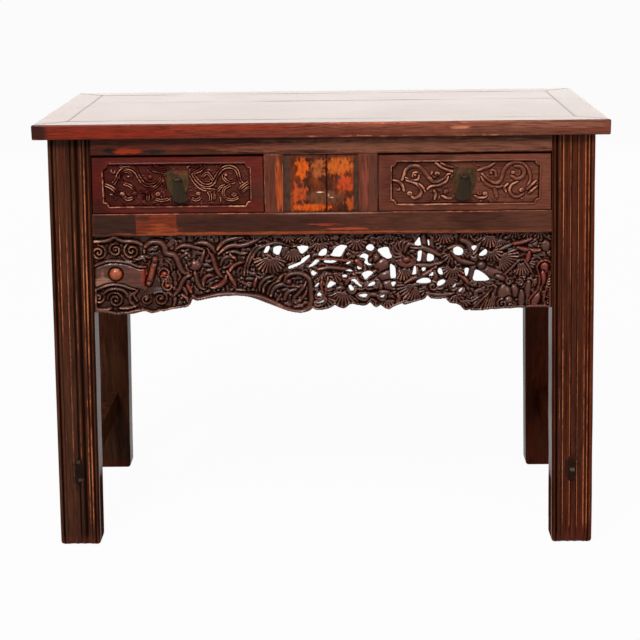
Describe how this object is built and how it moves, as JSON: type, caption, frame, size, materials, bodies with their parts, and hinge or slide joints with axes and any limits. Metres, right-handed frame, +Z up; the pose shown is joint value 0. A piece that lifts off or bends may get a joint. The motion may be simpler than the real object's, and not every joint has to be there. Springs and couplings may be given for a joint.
{
  "type": "altar table",
  "caption": "Table with splayed reeded legs, a mitred framed top, drawers with hanging pulls, and a carved pierced apron along its front.",
  "frame": {"origin": "on the floor under the middle of the table, at the bottom centre of its bounding box", "axes": "+X to the right along the front, +Y from the front to the back, +Z up"},
  "size_m": [1.068, 0.5, 0.85],
  "materials": {
    "top_lacquer": "glossy worn lacquer",
    "case_lacquer": "worn satin lacquer",
    "leg_lacquer": "worn satin lacquer",
    "carving_lacquer": "worn satin lacquer",
    "drawer_lacquer": "worn satin lacquer",
    "bare_wood": "bare aged wood",
    "aged_brass": "dull aged brass"
  },
  "bodies": {
    "table": {"apron_carved": "carving_lacquer", "centre_board_left": "case_lacquer", "centre_board_right": "case_lacquer", "divider_post_left": "case_lacquer", "divider_post_right": "case_lacquer", "drawer_kicker_left": "bare_wood", "drawer_kicker_right": "bare_wood", "drawer_runner_inner_left": "bare_wood", "drawer_runner_inner_right": "bare_wood", "drawer_runner_outer_left": "bare_wood", "drawer_runner_outer_right": "bare_wood", "front_lower_rail": "case_lacquer", "front_top_rail": "case_lacquer", "leg_front_left": "leg_lacquer", "leg_front_right": "leg_lacquer", "leg_rear_left": "leg_lacquer", "leg_rear_right": "leg_lacquer", "rear_board_left": "bare_wood", "rear_board_right": "bare_wood", "rear_lower_rail": "bare_wood", "rear_post": "bare_wood", "rear_top_rail": "bare_wood", "side_board_left": "case_lacquer", "side_board_right": "case_lacquer", "side_lower_rail_left": "case_lacquer", "side_lower_rail_right": "case_lacquer", "side_stretcher_left": "case_lacquer", "side_stretcher_right": "case_lacquer", "side_top_rail_left": "case_lacquer", "side_top_rail_right": "case_lacquer", "top_batten_left": "bare_wood", "top_batten_middle": "bare_wood", "top_batten_right": "bare_wood", "top_board_front": "top_lacquer", "top_board_rear": "top_lacquer", "top_end_member_left": "top_lacquer", "top_end_member_right": "top_lacquer", "top_front_member": "top_lacquer", "top_rear_member": "top_lacquer"},
    "drawer_left": {"drawer_front_left": "drawer_lacquer", "drawer_side_outer_left": "bare_wood", "drawer_side_inner_left": "bare_wood", "drawer_back_left": "bare_wood", "drawer_bottom_left": "bare_wood", "pull_plate_left": "aged_brass", "pull_staple_left": "aged_brass"},
    "pull_left": {"pull_tongue_left": "aged_brass"},
    "drawer_right": {"drawer_front_right": "drawer_lacquer", "drawer_side_outer_right": "bare_wood", "drawer_side_inner_right": "bare_wood", "drawer_back_right": "bare_wood", "drawer_bottom_right": "bare_wood", "pull_plate_right": "aged_brass", "pull_staple_right": "aged_brass"},
    "pull_right": {"pull_tongue_right": "aged_brass"}
  },
  "joints": [
    {"name": "drawer_left_slide", "type": "slide", "parent": "table", "child": "drawer_left", "axis": [0, -1, 0], "range_m": [0, 0.28]},
    {"name": "pull_left_hinge", "type": "hinge", "parent": "drawer_left", "child": "pull_left", "pos_m": [-0.26901, -0.2371, 0.743], "axis": [-1, 0, 0], "range_deg": [-7, 170]},
    {"name": "drawer_right_slide", "type": "slide", "parent": "table", "child": "drawer_right", "axis": [0, -1, 0], "range_m": [0, 0.28]},
    {"name": "pull_right_hinge", "type": "hinge", "parent": "drawer_right", "child": "pull_right", "pos_m": [0.26901, -0.2371, 0.743], "axis": [-1, 0, 0], "range_deg": [-7, 170]}
  ]
}
